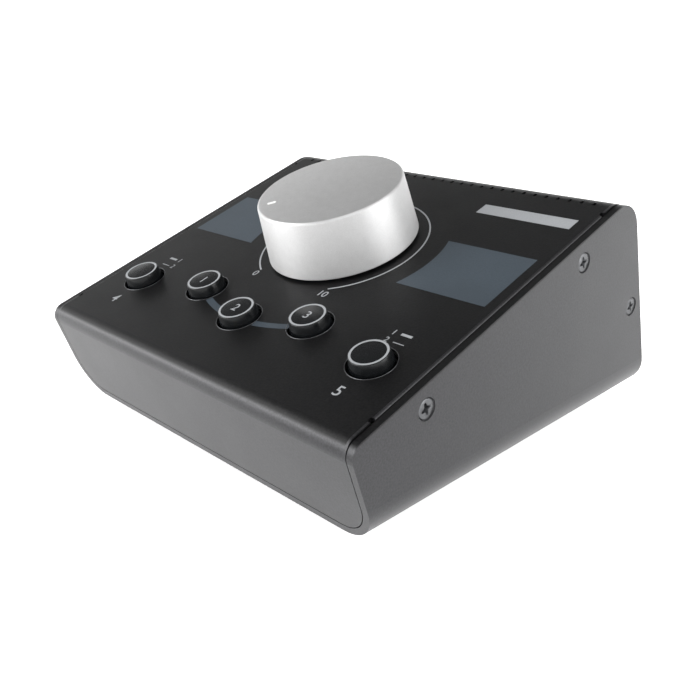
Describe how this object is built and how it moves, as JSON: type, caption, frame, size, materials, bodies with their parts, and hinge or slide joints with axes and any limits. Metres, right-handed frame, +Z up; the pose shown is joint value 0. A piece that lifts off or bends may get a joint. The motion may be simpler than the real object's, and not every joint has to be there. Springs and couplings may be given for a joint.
{
  "type": "studio monitor controller",
  "caption": "Wedge-shaped desktop audio controller: folded steel case, sloped black top with one large metal volume knob and round push buttons, plug sockets on the rear.",
  "frame": {"origin": "middle of the bottom of the bounding box, on the desk between the feet", "axes": "+Z up, +Y from the low front edge towards the rear panel, +X to the user's right"},
  "size_m": [0.137, 0.1408, 0.0805],
  "materials": {
    "case_paint": "satin dark grey powder coat",
    "cover_paint": "satin black print over dark grey powder coat",
    "screw_steel": "dark zinc plated",
    "rubber": "matt",
    "knob_aluminium": "satin, bead blasted and anodised",
    "knob_plastic": "moulded",
    "pointer_white": "paint-filled slot",
    "plated_metal": "nickel plated",
    "board_laminate": "glass laminate with solder mask",
    "socket_plastic": "moulded",
    "plug_plastic": "moulded",
    "cable_jacket": "ribbed",
    "button_gloss": "polished black",
    "stem_plastic": "moulded",
    "switch_plastic": "moulded"
  },
  "bodies": {
    "case": {"chassis": "case_paint", "top_cover": "cover_paint", "side_screws": "screw_steel", "foot_screws": "screw_steel", "board_screws": "screw_steel", "rubber_feet": "rubber", "volume_washer": "plated_metal", "volume_nut": "plated_metal", "jack_washers": "plated_metal", "board_standoffs": "plated_metal", "volume_control_body": "plated_metal", "control_board": "board_laminate", "jack_board": "board_laminate", "jack_nuts": "socket_plastic", "mini_jack": "socket_plastic", "line_jack_1": "socket_plastic", "line_jack_2": "socket_plastic", "line_jack_3": "socket_plastic", "line_jack_4": "socket_plastic", "line_jack_5": "socket_plastic", "line_jack_6": "socket_plastic", "line_jack_7": "socket_plastic", "line_jack_8": "socket_plastic", "mini_jack_nut": "plated_metal", "control_board_plug": "plug_plastic", "jack_board_plug": "plug_plastic", "flat_cable": "cable_jacket", "source_select_switch": "switch_plastic", "mono_switch": "switch_plastic", "mute_switch": "switch_plastic", "dim_switch": "switch_plastic", "monitor_select_switch": "switch_plastic"},
    "volume_knob": {"knob_shell": "knob_aluminium", "knob_hub": "knob_plastic", "knob_pointer": "pointer_white", "volume_shaft": "plated_metal"},
    "source_select_key": {"source_select_button": "button_gloss", "source_select_stem": "stem_plastic"},
    "mono_key": {"mono_button": "button_gloss", "mono_stem": "stem_plastic"},
    "mute_key": {"mute_button": "button_gloss", "mute_stem": "stem_plastic"},
    "dim_key": {"dim_button": "button_gloss", "dim_stem": "stem_plastic"},
    "monitor_select_key": {"monitor_select_button": "button_gloss", "monitor_select_stem": "stem_plastic"}
  },
  "joints": [
    {"name": "volume_turn", "type": "hinge", "parent": "case", "child": "volume_knob", "pos_m": [0, -0.00507, 0.0552], "axis": [0, 0.314, -0.9494], "range_deg": [0, 280]},
    {"name": "source_select_press", "type": "slide", "parent": "case", "child": "source_select_key", "axis": [0, 0.314, -0.9494], "range_m": [0, 0.002], "stiffness_N_per_m": 500, "springref_m": -0.001},
    {"name": "mono_press", "type": "slide", "parent": "case", "child": "mono_key", "axis": [0, 0.314, -0.9494], "range_m": [0, 0.002], "stiffness_N_per_m": 500, "springref_m": -0.001},
    {"name": "mute_press", "type": "slide", "parent": "case", "child": "mute_key", "axis": [0, 0.314, -0.9494], "range_m": [0, 0.002], "stiffness_N_per_m": 500, "springref_m": -0.001},
    {"name": "dim_press", "type": "slide", "parent": "case", "child": "dim_key", "axis": [0, 0.314, -0.9494], "range_m": [0, 0.002], "stiffness_N_per_m": 500, "springref_m": -0.001},
    {"name": "monitor_select_press", "type": "slide", "parent": "case", "child": "monitor_select_key", "axis": [0, 0.314, -0.9494], "range_m": [0, 0.002], "stiffness_N_per_m": 500, "springref_m": -0.001}
  ]
}
